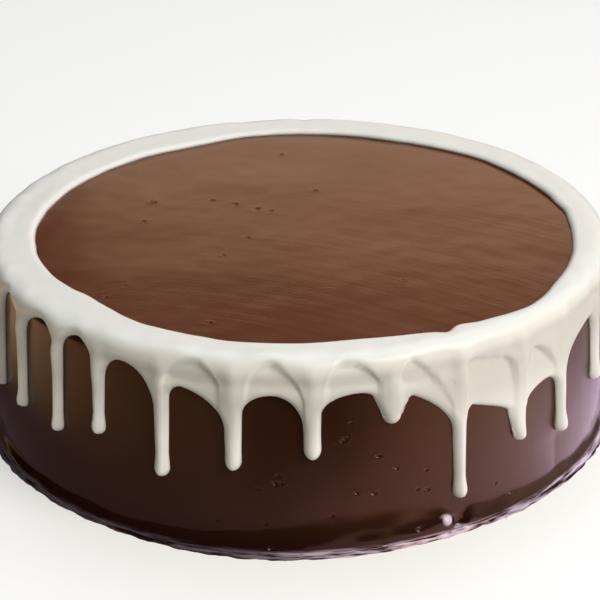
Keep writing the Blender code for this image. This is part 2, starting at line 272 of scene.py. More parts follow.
def glaze_relief(points):
    """Moves the plain body's points to the glaze's uneven skin."""
    moved = []
    for x, y, z in points:
        angle = math.degrees(math.atan2(x, -y))
        radius = math.hypot(x, y)
        if z < 0.01 and radius < BASE_RADIUS - 0.5:
            moved.append((x, y, z))
            continue
        lean = LEAN
        if z > WALL_TOP - 0.01:
            over_shoulder = math.atan2(z - CAKE_HEIGHT + SHOULDER_RADIUS, radius - FLAT_RADIUS)
            lean = min(math.pi / 2, max(LEAN, over_shoulder))
        spot = Vector((x, y, z))
        lift = BROAD_SWELL * wrinkles(spot, 30) + NARROW_SWELL * wrinkles((x, y, z * 0.5), 8)
        lift += pit_lift(spot) + blister_lift(spot)
        fold = math.exp(-abs(turn_between(angle, FOLD_ANGLE)) / FOLD_WIDTH)
        lift -= FOLD_DEPTH * fold * smooth_step((FOLD_TOP - z) / 6)
        if z > WALL_TOP and radius < FLAT_RADIUS:
            lift += top_height(radius, angle) - CAKE_HEIGHT
        spread = waves(WALL_WAVES, angle) * min(1, radius / FLAT_RADIUS)
        spread += skirt_spread(x, y, z, angle) + film_spread(x, y, z, angle)
        out = spread + lift * math.cos(lean)
        rise = lift * math.sin(lean) if z > 0.01 else 0
        share = (radius + out) / max(radius, 1e-6)
        moved.append((x * share, y * share, max(0.0, z + rise)))
    return moved


write_points(cake, glaze_relief(read_points(cake)))
bpy.ops.object.shade_smooth_by_angle(angle=math.radians(70))


def add_node(tree, kind, place=(0, 0), **values):
    """Adds a shader node and sets its properties or, where it has none of that name, its inputs."""
    made = tree.nodes.new(kind)
    made.location = place
    for name, value in values.items():
        if hasattr(made, name):
            setattr(made, name, value)
        else:
            made.inputs[name.replace("_", " ")].default_value = value
    return made


def mottling_group():
    """Cloudy unevenness over a surface: a mask from 0 to 1 and a fine height for a bump."""
    group = bpy.data.node_groups.new("mottling", "ShaderNodeTree")
    face = group.interface
    face.new_socket("Vector", in_out="INPUT", socket_type="NodeSocketVector")
    for name, value in (("Cloud Scale", 20.0), ("Contrast", 1.0), ("Grain Scale", 600.0)):
        face.new_socket(name, in_out="INPUT", socket_type="NodeSocketFloat").default_value = value
    face.new_socket("Mask", in_out="OUTPUT", socket_type="NodeSocketFloat")
    face.new_socket("Grain", in_out="OUTPUT", socket_type="NodeSocketFloat")
    source = add_node(group, "NodeGroupInput", (-600, 0))
    sink = add_node(group, "NodeGroupOutput", (500, 0))
    cloud = add_node(group, "ShaderNodeTexNoise", (-350, 150), Detail=4.0, Roughness=0.55)
    grain = add_node(group, "ShaderNodeTexNoise", (-350, -150), Detail=2.0)
    centred = add_node(group, "ShaderNodeMath", (-120, 150), operation="SUBTRACT")
    centred.inputs[1].default_value = 0.5
    stretched = add_node(group, "ShaderNodeMath", (60, 150), operation="MULTIPLY")
    raised = add_node(group, "ShaderNodeMath", (240, 150), operation="ADD", use_clamp=True)
    raised.inputs[1].default_value = 0.5
    for start, end in (
        (source.outputs["Vector"], cloud.inputs["Vector"]),
        (source.outputs["Vector"], grain.inputs["Vector"]),
        (source.outputs["Cloud Scale"], cloud.inputs["Scale"]),
        (source.outputs["Grain Scale"], grain.inputs["Scale"]),
        (cloud.outputs["Fac"], centred.inputs[0]), (centred.outputs[0], stretched.inputs[0]),
        (source.outputs["Contrast"], stretched.inputs[1]), (stretched.outputs[0], raised.inputs[0]),
        (raised.outputs[0], sink.inputs["Mask"]), (grain.outputs["Fac"], sink.inputs["Grain"]),
    ):
        group.links.new(start, end)
    return group


mottling = mottling_group()


def use_mottling(tree, vector, place, **values):
    """Places the mottling group in a material."""
    made = tree.nodes.new("ShaderNodeGroup")
    made.node_tree = mottling
    made.location = place
    tree.links.new(vector, made.inputs["Vector"])
    for name, value in values.items():
        made.inputs[name.replace("_", " ")].default_value = value
    return made


def feed(tree, value, socket):
    """Gives a socket a number, a vector, a colour or the output of another node."""
    if isinstance(value, bpy.types.NodeSocket):
        tree.links.new(value, socket)
    elif isinstance(value, tuple) and socket.type == "RGBA":
        socket.default_value = (*value, 1)
    else:
        socket.default_value = value


def mix_colours(tree, factor, first, second, place):
    """Blends two colours, each a constant or an output, by a factor."""
    made = add_node(tree, "ShaderNodeMix", place, data_type="RGBA")
    feed(tree, factor, made.inputs["Factor"])
    feed(tree, first, made.inputs[6])
    feed(tree, second, made.inputs[7])
    return made.outputs[2]


def calculate(tree, operation, place, *values, kind="ShaderNodeMath", output=0):
    """Works with numbers, or with vectors where kind says so, each a constant or an output."""
    made = add_node(tree, kind, place, operation=operation)
    for value, socket in zip(values, made.inputs):
        feed(tree, value, socket)
    return made.outputs[output]


def map_range(tree, value, place, *limits):
    """Maps value from limits[0]...limits[1] to limits[2]...limits[3], and stops at the ends."""
    made = add_node(tree, "ShaderNodeMapRange", place)
    tree.links.new(value, made.inputs[0])
    for number, limit in enumerate(limits):
        made.inputs[number + 1].default_value = limit
    return made.outputs[0]


# Colours of the glaze, each pair for its darker and its paler clouds
SIDE_GLAZE = ((0.027, 0.0086, 0.0034), (0.035, 0.0112, 0.0048))
TOP_GLAZE = ((0.075, 0.0170, 0.0048), (0.089, 0.0225, 0.0072))
# A darker glaze colour low on the side, in the skirt
DARKER_LOW_GLAZE = (0.0165, 0.0045, 0.0038)
# The film's own milky colour, which also paints a highlight and reflection on its streaks and a glint on the
# blister
MILKY_FILM_AND_PAINTED_HIGHLIGHT = (0.70, 0.56, 0.72)
SIDE_SHEEN, TOP_SHEEN = (1.0, 0.62, 0.45), (1.0, 0.45, 0.28)
# The knife was swung about a point in front of the cake and to its left, in metres, and pressed hardest
# towards the front right
STROKE_CENTRE, PRESSED_TOWARDS = (-0.088, -0.264, 0.0685), (0.6, -0.8, 0)
FILM_STRETCH, STROKE_STRETCH = 0.009, 0.006


def milky_film_and_painted_highlights(tree, coords, parts):
    """Where the glaze is pale: streaks in the thin film at the foot, partly its own milky colour and partly a
    painted highlight and reflection, most of them to the right where the light falls, and a painted glint on
    the blister.
    """
    turned = calculate(tree, "ARCTAN2", (-1500, 900), parts["X"], parts["Y"])
    streak_place = add_node(tree, "ShaderNodeCombineXYZ", (-1100, 1000))
    feed(tree, calculate(tree, "MULTIPLY", (-1300, 900), turned, FILM_STRETCH), streak_place.inputs["X"])
    outwards = calculate(tree, "LENGTH", (-1500, 1150), coords, kind="ShaderNodeVectorMath", output="Value")
    feed(tree, outwards, streak_place.inputs["Y"])
    feed(tree, parts["Z"], streak_place.inputs["Z"])
    streaks = add_node(tree, "ShaderNodeTexNoise", (-900, 1000), Scale=900.0, Detail=2.0, Roughness=0.6)
    feed(tree, streak_place.outputs[0], streaks.inputs["Vector"])
    in_film = map_range(tree, parts["Z"], (-900, 900), 0.0024, 0.0012, 0, 1)
    pale_streaks = map_range(tree, streaks.outputs["Fac"], (-700, 1100), 0.41, 0.60, 0, 1)
    # More pale streaks to the right, where the light falls: a painted highlight
    painted_light_to_right = map_range(tree, parts["X"], (-900, 1300), -0.02, 0.02, 0.15, 1)
    film = calculate(
        tree, "MULTIPLY", (-400, 1000), calculate(tree, "MULTIPLY", (-600, 1000), in_film, pale_streaks), painted_light_to_right
    )
    # A painted glint: a pale spot at the blister's top, as if it caught the light
    from_blister = calculate(
        tree, "DISTANCE", (-600, 1300), coords, BLISTER_TOP * MM, kind="ShaderNodeVectorMath",
        output="Value",
    )
    painted_blister_glint = map_range(tree, from_blister, (-400, 1300), 0.0027, 0.0015, 0, 1)
    return calculate(tree, "MAXIMUM", (-300, 1150), painted_blister_glint, film)


def knife_strokes(tree, coords, on_top):
    """A height for the strokes: fine ridges along arcs about one centre, on the top alone."""
    centred = calculate(tree, "SUBTRACT", (-1100, -800), coords, STROKE_CENTRE, kind="ShaderNodeVectorMath")
    reach = calculate(tree, "LENGTH", (-900, -800), centred, kind="ShaderNodeVectorMath", output="Value")
    flat = add_node(tree, "ShaderNodeSeparateXYZ", (-900, -1000))
    feed(tree, centred, flat.inputs[0])
    swing = calculate(tree, "ARCTAN2", (-700, -1000), flat.outputs["Y"], flat.outputs["X"])
    stroke_place = add_node(tree, "ShaderNodeCombineXYZ", (-500, -850))
    feed(tree, reach, stroke_place.inputs["X"])
    feed(tree, calculate(tree, "MULTIPLY", (-600, -1100), swing, STROKE_STRETCH), stroke_place.inputs["Y"])
    strokes = add_node(tree, "ShaderNodeTexNoise", (-300, -850), Scale=260.0, Detail=2.0, Roughness=0.5)
    feed(tree, stroke_place.outputs[0], strokes.inputs["Vector"])
    to_front = calculate(
        tree, "DOT_PRODUCT", (-500, -1300), coords, PRESSED_TOWARDS, kind="ShaderNodeVectorMath",
        output="Value",
    )
    pressed = map_range(tree, to_front, (-300, -1300), -0.06, 0.07, 0.15, 1)
    top_pressed = calculate(tree, "MULTIPLY", (-100, -1100), pressed, on_top)
    return calculate(tree, "MULTIPLY", (50, -850), strokes.outputs["Fac"], top_pressed)


def glaze_material():
    """Dark glaze: glossy where it pooled, satin on top where the knife left long curved strokes."""
    made = bpy.data.materials.new("dark_chocolate_glaze")
    made.use_nodes = True
    tree = made.node_tree
    shader = tree.nodes["Principled BSDF"]
    shader.inputs["IOR"].default_value = 1.47
    coords = add_node(tree, "ShaderNodeTexCoord", (-1500, 0)).outputs["Object"]
    split = add_node(tree, "ShaderNodeSeparateXYZ", (-1300, -300))
    feed(tree, coords, split.inputs[0])
    parts = split.outputs
    on_top = map_range(tree, parts["Z"], (-1100, -300), 0.064, 0.0682, 0, 1)
    in_skirt = map_range(tree, parts["Z"], (-1100, -550), 0.013, 0.002, 0, 1)
    clouds = use_mottling(tree, coords, (-1100, 300), Cloud_Scale=16.0, Contrast=1.6, Grain_Scale=900.0)
    side = mix_colours(tree, clouds.outputs["Mask"], *SIDE_GLAZE, (-800, 400))
    top = mix_colours(tree, clouds.outputs["Mask"], *TOP_GLAZE, (-800, 200))
    # Darker towards the foot, in the skirt
    pooled = mix_colours(tree, in_skirt, side, DARKER_LOW_GLAZE, (-600, 500))
    body = mix_colours(tree, on_top, pooled, top, (-400, 300))
    # Pale film streaks and the blister's glint laid over the glaze, partly painted highlight
    film_and_painted_highlight = milky_film_and_painted_highlights(tree, coords, parts)
    feed(tree, mix_colours(tree, film_and_painted_highlight, body, MILKY_FILM_AND_PAINTED_HIGHLIGHT, (-200, 300)), shader.inputs["Base Color"])
    sheen = mix_colours(tree, on_top, SIDE_SHEEN, TOP_SHEEN, (-200, 600))
    feed(tree, sheen, shader.inputs["Specular Tint"])
    rough = map_range(tree, clouds.outputs["Mask"], (-500, 0), 0, 1, 0.20, 0.27)
    gloss = calculate(tree, "MULTIPLY_ADD", (-300, 0), in_skirt, -0.10, rough)
    feed(tree, gloss, shader.inputs["Roughness"])
    stroke_bump = add_node(tree, "ShaderNodeBump", (250, -700), Strength=0.16, Distance=0.0004)
    feed(tree, knife_strokes(tree, coords, on_top), stroke_bump.inputs["Height"])
    grain_bump = add_node(tree, "ShaderNodeBump", (450, -500), Strength=0.10, Distance=0.0002)
    feed(tree, clouds.outputs["Grain"], grain_bump.inputs["Height"])
    feed(tree, stroke_bump.outputs[0], grain_bump.inputs["Normal"])
    feed(tree, grain_bump.outputs[0], shader.inputs["Normal"])
    return made


cake.data.materials.append(glaze_material())
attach(cake, "root")
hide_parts("glazed_cake")
cake.select_set(False)


# The white chocolate: poured warm along the rim, it caps the shoulder with a round lip towards the middle and
# ran down the side in streams. Each stream thins into a stem and ends in a swollen drop. Between the streams
# hangs a thin web, one step lower than they are, with a fuller belly just above its own lower lip.
BAND_THICKNESS, SIDE_EXTRA, LIP_WIDTH = 2.0, 0.45, 2.6
# Its slow unevenness as (size, span)
BAND_SWELLS = ((0.22, 17), (0.10, 6))
# The roll over the outer lip and the hollow just below it as (path, extra thickness, half-width)
LIP_ROLL, UNDER_ROLL, ROLL_SWAY = (4.8, 1.2, 2.7), (10.3, -1.0, 3.2), 1.6
# How much thicker streams, stems and bulbs are, and the paths at which a stream begins and turns to a stem
STREAM_EXTRA, STEM_EXTRA, BULB_EXTRA, STREAM_WIDTH = 1.15, 0.5, 0.55, 3.0
STREAM_START, STREAM_FADE, STEM_START, STEM_FADE = 4, 7, 12, 10
WEB_DEPTH, WEB_BELLY, STEP_WIDTH, THINNEST = 2.7, 2.1, 1.0, 0.45
# A bulb's length above its widest place, and its tip's below, as shares of its width and of half its width
BULB_RISE, TIP_LENGTH = 1.3, 1.4
# The inner edge on top of the cake: a round one that stands off centre, and its waves as (angle, half-width,
# shift)
INNER_RADIUS, INNER_OFFSET, INNER_OFFSET_ANGLE = 102.3, 5.0, 40
INNER_WANDER = (
    (-68, 12, -1.2), (-45, 12, -4.6), (-20, 14, -1.9), (-3, 6, -1.2), (9, 8, -2.8), (18, 7, -1.3),
    (26.3, 1.7, 2.0), (30, 2, -1.2), (45, 9, 2.8), (80, 13, -1.6), (112, 18, -2.3), (152, 20, -2.8),
    (-153, 9, -2.3), (-143, 12, -1.0),
)
# Runs of the shown side: (angle, height of the tip, width of the stem, width of the bulb, how much farther
# the neck reaches to its left, and to its right)
FRONT_RUNS = (
    (-54.9, 27.0, 3.5, 4.5, 0.6, 0.3),
    (-44.0, 27.1, 3.7, 4.5, 0.3, 0.5),
    (-34.4, 33.0, 3.7, 5.0, 0.6, 0.6),
    (-22.3, 24.1, 4.2, 5.2, 0.6, 0.5),
    (-10.4, 30.0, 5.0, 5.3, 0.4, 0.4),
    (2.1, 34.5, 5.2, 5.6, 0.3, 0.3),
    (14.8, 45.0, 5.2, 5.2, 3.3, 3.1),
    (26.7, 12.2, 3.9, 5.1, 0.5, 0.5),
    (39.2, 25.5, 4.6, 4.6, 3.1, 0.3),
    (50.3, 19.4, 4.0, 5.5, 0.3, 0.3),
    (64.9, 25.8, 4.4, 5.6, 0.2, 0.2),
)
# Arches between them, the first to the left of the first run: (angle, height, drop to its left, drop to its
# right, slant of its right side, where 0 is round and 1 is straight)
FRONT_ARCHES = (
    (-61.0, 65.6, 8.0, 8.0, 0),
    (-48.5, 65.2, 8.0, 5.0, 0),
    (-39.2, 65.4, 7.0, 9.0, 0),
    (-29.9, 62.3, 8.5, 14.0, 0),
    (-18.9, 57.6, 4.5, 13.0, 0.2),
    (-4.3, 57.0, 7.0, 12.0, 0),
    (9.6, 56.8, 6.5, 2.0, 0),
    (18.4, 53.6, 1.5, 15.0, 0.45),
    (29.2, 45.2, 8.0, 6.5, 0.75),
    (46.2, 43.3, 7.0, 6.0, 0),
    (61.6, 54.0, 13.0, 6.0, 0),
)
# The webs of the shown side: number of the arch, then its left foot, crown and right foot as (angle, path),
# the bow of its two sides, where 1 is straight and 5 is square, and how far its crown falls to the right in a
# degree
FRONT_WEBS = {
    4: ((-21.6, 13.0), (-16.8, 5.6), (-12.4, 16.5), 2.0, 2.2, 0.0),
    5: ((-8.2, 13.5), (-4.3, 4.9), (0.8, 17.0), 2.0, 1.6, 0.0),
    6: ((4.2, 14.0), (7.0, 5.3), (12.8, 13.5), 2.0, 2.0, 0.0),
    7: ((16.2, 12.0), (18.5, 6.4), (25.0, 24.0), 2.0, 1.25, 0.0),
    8: ((27.9, 24.0), (32.6, 11.5), (37.6, 31.0), 6.0, 6.0, 0.45),
    9: ((40.3, 21.0), (42.6, 14.0), (48.0, 26.0), 2.0, 1.5, 0.0),
}
BACK_RUNS, BACK_SEED = 20, 24
NECK_EXTRA = 0.3
# How finely the mesh is cut, over an arch, across a stem, and from row to row
ARCH_COLUMNS, STEM_COLUMNS = 11, 14
RUN_COLUMNS = 2 * ARCH_COLUMNS + STEM_COLUMNS
TOP_ROWS, SHOULDER_ROWS, WALL_ROWS, STEM_ROWS = 11, 12, 36, 40


def runs_and_arches():
    """Every run round the cake with the arch to its left, the shown side first and then on round the back."""
    chance = random.Random(BACK_SEED)
    runs, arches = list(FRONT_RUNS), list(FRONT_ARCHES)
    first, last = FRONT_ARCHES[0][0] + 360, FRONT_RUNS[-1][0]
    spacing = (first - last) / (BACK_RUNS + 0.5)
    for step in range(1, BACK_RUNS + 1):
        angle = last + spacing * (step + chance.uniform(-0.14, 0.14))
        height = 57 + 4 * math.cos(math.radians(angle * 2 - 20)) + chance.uniform(-3, 3)
        apex = angle - spacing * chance.uniform(0.42, 0.58)
        drops = chance.uniform(6, 11), chance.uniform(6, 11)
        arches.append((apex, height, *drops, chance.choice((0, 0, 0.3))))
        tip = chance.choice((18, 24, 27, 31, 35, 38)) + chance.uniform(-3, 3)
        stem = chance.uniform(3.9, 5.3)
        runs.append((angle, tip, stem, max(stem + 0.1, chance.uniform(5.1, 5.8)), NECK_EXTRA, NECK_EXTRA))
    return runs, arches


runs, arches = runs_and_arches()
RUN_COUNT = len(runs)


def path_at(height):
    """The path down the side to a given height."""
    if height <= WALL_TOP:
        return SHOULDER_LENGTH + (WALL_TOP - height) / math.cos(LEAN)
    rise = (height - CAKE_HEIGHT + SHOULDER_RADIUS) / SHOULDER_RADIUS
    return SHOULDER_RADIUS * (math.pi / 2 - math.asin(rise))


def on_cake(angle, path, lift):
    """A point above the glaze."""
    if path <= 0:
        radius = FLAT_RADIUS + path
        height = top_height(radius, angle) + lift
    else:
        lean = math.pi / 2 - min(path, SHOULDER_LENGTH) / SHOULDER_RADIUS
        down = max(0.0, path - SHOULDER_LENGTH)
        radius = FLAT_RADIUS + (SHOULDER_RADIUS + lift) * math.cos(lean) + down * math.sin(LEAN)
        height = CAKE_HEIGHT - SHOULDER_RADIUS + (SHOULDER_RADIUS + lift) * math.sin(lean)
        height -= down * math.cos(LEAN)
    radius += waves(WALL_WAVES, angle)
    turn = math.radians(angle)
    return (radius * math.sin(turn), -radius * math.cos(turn), height)


def inner_path(angle):
    """Where the white chocolate ends on top of the cake."""
    radius = INNER_RADIUS + INNER_OFFSET * math.cos(math.radians(angle - INNER_OFFSET_ANGLE))
    radius += sum(shift * bump(turn_between(angle, at), half) for at, half, shift in INNER_WANDER)
    turn = math.radians(angle)
    radius += 0.5 * wrinkles((60 * math.sin(turn), 60 * math.cos(turn), 0), 6)
    return radius - FLAT_RADIUS


def cell(number):
    """A run with the arches at its two sides."""
    right = arches[(number + 1) % RUN_COUNT]
    if number + 1 == RUN_COUNT:
        right = (right[0] + 360, *right[1:])
    return runs[number], arches[number], right


def neck(left, right, across):
    """Height at which the stem starts, from its left side (-1) to its right (1)."""
    share = (across + 1) / 2
    return (left[1] - left[3]) * (1 - share) + (right[1] - right[2]) * share


def stem_place(column):
    """Where a column stands across a stem, from -1 to 1, closer together towards its sides."""
    return math.sin(math.pi / 2 * (2 * (column - ARCH_COLUMNS) / STEM_COLUMNS - 1))


def edge(number, column):
    """(angle, height) at which a column of the band ends: on an arch, or at the neck of the run."""
    run, left, right = cell(number)
    left_half, right_half = (math.degrees((run[2] / 2 + extra) / WALL_TOP_RADIUS) for extra in run[4:])
    if column <= ARCH_COLUMNS:
        swing = math.pi / 2 * column / ARCH_COLUMNS
        fall = (1 - left[4]) * (1 - math.cos(swing)) + left[4] * math.sin(swing)
        return left[0] + (run[0] - left_half - left[0]) * math.sin(swing), left[1] - left[3] * fall
    if column >= RUN_COLUMNS - ARCH_COLUMNS:
        swing = math.pi / 2 * (RUN_COLUMNS - column) / ARCH_COLUMNS
        return (
            right[0] - (right[0] - run[0] - right_half) * math.sin(swing),
            right[1] - right[2] * (1 - math.cos(swing)),
        )
    across = stem_place(column)
    return run[0] + (left_half if across < 0 else right_half) * across, neck(left, right, across)


def half_width(run, extra, height, neck_height):
    """How far one side of a run stands from its middle: wide at the neck, then a stem, then a bulb."""
    widest = run[1] + run[3] / 2
    rise = BULB_RISE * run[3]
    share = smooth_step((widest + rise - height) / rise)
    neck_share = max(0.0, (height - widest) / (neck_height - widest))
    return (run[2] + (run[3] - run[2]) * share) / 2 + extra * neck_share


def stem_point(number, column, share):
    """(angle, height) on a run, share 0 at its neck and 1 on its round end."""
    run, left, right = cell(number)
    across = stem_place(column)
    tip_length = TIP_LENGTH * run[3] / 2
    end = run[1] + tip_length * (1 - math.sqrt(max(0.0, 1 - across * across)))
    height = neck(left, right, across) * (1 - share) + end * share
    neck_height = neck(left, right, math.copysign(1, across))
    side = neck_height * (1 - share) + (run[1] + tip_length) * share
    extra = run[4] if across < 0 else run[5]
    return run[0] + math.degrees(half_width(run, extra, side, neck_height) * across / WALL_TOP_RADIUS), height


def round_length(angle):
    return math.radians(angle) * WALL_TOP_RADIUS


def line_tree(points):
    """A search tree over a line, with points put in between so that they are never far apart."""
    filled = []
    for start, end in zip(points, points[1:]):
        count = max(1, math.ceil(math.dist(start, end) / 0.06))
        filled += [[a + (b - a) * step / count for a, b in zip(start, end)] for step in range(count)]
    tree = kdtree.KDTree(len(filled))
    for number, (across, down) in enumerate(filled):
        tree.insert((across, down, 0), number)
    tree.balance()
    return tree


def lower_edge():
    """The whole lower edge of the white chocolate, once round and a little further at both ends."""
    stem_end = ARCH_COLUMNS + STEM_COLUMNS
    points = []
    for turn in (-1, 0, 1):
        for number in range(RUN_COUNT):
            if turn and not (number == RUN_COUNT - 1 if turn < 0 else number == 0):
                continue
            fine = [ARCH_COLUMNS * step / 24 for step in range(25)]
            spots = [edge(number, column) for column in fine]
            spots += [stem_point(number, ARCH_COLUMNS, step / 24) for step in range(1, 25)]
            spots += [stem_point(number, ARCH_COLUMNS + STEM_COLUMNS * step / 24, 1) for step in range(1, 25)]
            spots += [stem_point(number, stem_end, step / 24) for step in reversed(range(24))]
            spots += [edge(number, RUN_COLUMNS - column) for column in reversed(fine)]
            points += [(round_length(angle + 360 * turn), path_at(height)) for angle, height in spots]
    return points


edge_tree = line_tree(lower_edge())


def web_side(web, angle):
    """The foot, crown and bow of the side of a web on which an angle lies."""
    left, crown, right, left_bow, right_bow = web[:5]
    return (left, crown, left_bow) if angle < crown[0] else (right, crown, right_bow)


def web_reach(foot, crown, bow, path):
    """How far a web's side stands from its crown at a path, in degrees."""
    share = min(1.0, max(0.0, (path - crown[1]) / (foot[1] - crown[1])))
    return abs(foot[0] - crown[0]) * (1 - (1 - share) ** bow) ** (1 / bow)


def web_line(web):
    """The step round a web, from far below its left foot over the crown to far below its right foot."""
    left, crown, right, left_bow, right_bow, fall = web
    points = []
    for foot, bow, sign in ((left, left_bow, -1), (right, right_bow, 1)):
        side = []
        for step in range(41):
            path = crown[1] + (foot[1] - crown[1]) * (step / 40) ** 2
            reach = web_reach(foot, crown, bow, path)
            side.append((round_length(crown[0] + sign * reach), path + fall * sign * reach))
        side.append((side[-1][0], side[-1][1] + 30))
        points += side[::-1] if sign < 0 else side[1:]
    return points


def all_webs():
    """The web of each arch that has one, and the tree that finds how near its step is."""
    webs = dict(FRONT_WEBS)
    chance = random.Random(BACK_SEED + 1)
    for number in range(len(FRONT_ARCHES), RUN_COUNT):
        angle, height = arches[number][:2]
        before, after = runs[number - 1][0], runs[number][0]
        if height < 61:
            spread = 4.6 * 180 / math.pi / WALL_TOP_RADIUS
            lowest = path_at(height)
            webs[number] = (
                (before + spread, lowest + chance.uniform(-1, 2)),
                (angle + chance.uniform(-0.8, 0.8), min(lowest - 5.5, 5.0 + chance.uniform(0, 3.5))),
                (after - spread, lowest + chance.uniform(0, 4)),
                chance.uniform(1.6, 2.4), chance.uniform(1.3, 2.2), 0.0,
            )
    return {number: (web, line_tree(web_line(web))) for number, web in webs.items()}


webs = all_webs()


def web_hollow(number, angle, path):
    """How deep the web of an arch lies below the streams beside it."""
    if number not in webs:
        return 0.0
    web, tree = webs[number]
    angle = web[1][0] + turn_between(angle, web[1][0])
    foot, crown, bow = web_side(web, angle)
    level = path - web[5] * (angle - crown[0])
    inside = level > crown[1] and abs(angle - crown[0]) < web_reach(foot, crown, bow, level)
    distance = tree.find((round_length(angle), path, 0))[2]
    share = smooth_step(0.5 + (distance if inside else -distance) / STEP_WIDTH)
    lip = path_at(arches[number][1])
    belly = smooth_step((path - crown[1] - 2) / (lip - crown[1] - 2))
    return share * (WEB_DEPTH - WEB_BELLY * belly)


def thickness(number, angle, path):
    """How thick the white chocolate is."""
    run = runs[number]
    height = WALL_TOP - (path - SHOULDER_LENGTH) * math.cos(LEAN)
    aside = round_length(angle - run[0])
    spot = on_cake(angle, path, 0)
    full = BAND_THICKNESS + SIDE_EXTRA * smooth_step(path / SHOULDER_LENGTH)
    full += sum(size * wrinkles(spot, span) for size, span in BAND_SWELLS)
    swayed = path - ROLL_SWAY * wrinkles((spot[0], spot[1], 0), 9)
    full += sum(extra * bump(swayed - at, half) for at, extra, half in (LIP_ROLL, UNDER_ROLL))
    stream = STREAM_EXTRA + (STEM_EXTRA - STREAM_EXTRA) * smooth_step((path - STEM_START) / STEM_FADE)
    full += stream * smooth_step((path - STREAM_START) / STREAM_FADE) * bump(aside, STREAM_WIDTH)
    full += BULB_EXTRA * bump(height - run[1] - run[3] / 2, run[3] * 0.7)
    full -= web_hollow(number, angle, path) + web_hollow((number + 1) % RUN_COUNT, angle, path)
    # A soft floor, so that the glaze never shows through a web
    above = full - THINNEST
    full = THINNEST + (above + math.sqrt(above * above + 0.15)) / 2
    nearest = edge_tree.find((round_length(angle), path, 0))[2]
    near = min(nearest, path - inner_path(angle), LIP_WIDTH)
    return full * math.sqrt(max(0.0, 1 - (1 - near / LIP_WIDTH) ** 2))


def band_position(number, column, kind, share):
    """(angle, path) of a grid point of the band."""
    end_angle, end_height = edge(number, column)
    run, left, right = cell(number)
    even_angle = left[0] + (right[0] - left[0]) * column / RUN_COLUMNS
    end = path_at(end_height)
    turned = SHOULDER_LENGTH * min(1.0, (end - 2.5) / SHOULDER_LENGTH)
    if kind == "top":
        return even_angle, inner_path(even_angle) * (1 - share)
    path = turned * share if kind == "shoulder" else turned + (end - turned) * share
    # Every column stands upright from the crown of its arch down, so that none leaves the band
    across = min(1.0, max(0.0, (column - ARCH_COLUMNS) / STEM_COLUMNS))
    crown = path_at(left[1]) * (1 - across) + path_at(right[1]) * across
    return even_angle + (end_angle - even_angle) * smooth_step(path / crown), path


def grid_of_points(name, columns, rows):
    """A grid whose points are numbered by column and row, for placing one by one."""
    bpy.ops.mesh.primitive_grid_add(x_subdivisions=columns, y_subdivisions=rows, size=2)
    made = bpy.context.object
    made.name = made.data.name = name
    places = read_points(made) * MM
    numbered_columns = np.rint((places[:, 0] + 1) / 2 * columns).astype(int)
    numbered_rows = np.rint((1 - places[:, 1]) / 2 * rows).astype(int)
    return made, zip(numbered_columns.tolist(), numbered_rows.tolist())


top_shares = [1 - math.cos(math.pi / 2 * (row / TOP_ROWS) ** 0.75) for row in range(TOP_ROWS + 1)]
wall_shares = [math.sin(math.pi / 2 * row / WALL_ROWS) for row in range(1, WALL_ROWS + 1)]
stem_shares = [math.sin(math.pi / 2 * (row / STEM_ROWS)) for row in range(1, STEM_ROWS + 1)]
outer_rows = [("top", share) for share in top_shares]
outer_rows += [("shoulder", row / SHOULDER_ROWS) for row in range(1, SHOULDER_ROWS + 1)]
outer_rows += [("wall", share) for share in wall_shares]
under_rows = [("top", 0.0), ("top", 1.0)]
under_rows += [("shoulder", share) for share in (0.34, 0.67, 1.0)]
under_rows += [("wall", 1.0)]
band_end = len(outer_rows) - 1


def column_cell(column):
    number = min(column // RUN_COLUMNS, RUN_COUNT - 1)
    return number, column - number * RUN_COLUMNS


def outer_point(column, row):
    """A point of the outer face, or None where the grid has to be cut away."""
    number, local = column_cell(column)
    if row <= band_end:
        angle, path = band_position(number, local, *outer_rows[row])
        on_edge = row == 0 or (row == band_end and not 0 < local - ARCH_COLUMNS < STEM_COLUMNS)
    elif ARCH_COLUMNS <= local <= ARCH_COLUMNS + STEM_COLUMNS:
        share = stem_shares[row - band_end - 1]
        angle, height = stem_point(number, local, share)
        path = path_at(height)
        on_edge = local in (ARCH_COLUMNS, ARCH_COLUMNS + STEM_COLUMNS) or share > 0.9999
    else:
        return None
    return on_cake(angle, path, 0 if on_edge else thickness(number, angle, path))


def placed_sheet(name, columns, rows, place):
    """A grid with each point put where place(column, row) says, and cut where it says None."""
    made, numbered = grid_of_points(name, columns, rows)
    points = [place(column, row) for column, row in numbered]
    unused = {index for index, point in enumerate(points) if point is None}
    write_points(made, [point or (0, 0, -50) for point in points])
    if unused:
        shape = edit(made, "VERT")
        pick(made, shape.verts, lambda vertex: vertex.index in unused)
        bpy.ops.mesh.delete(type="VERT")
        bpy.ops.object.mode_set(mode="OBJECT")
    return made


def under_point(column, row):
    number, local = column_cell(column)
    angle, path = band_position(number, local, *under_rows[row])
    on_edge = row == 0 or row == len(under_rows) - 1
    return on_cake(angle, path, 0 if on_edge else -0.5)


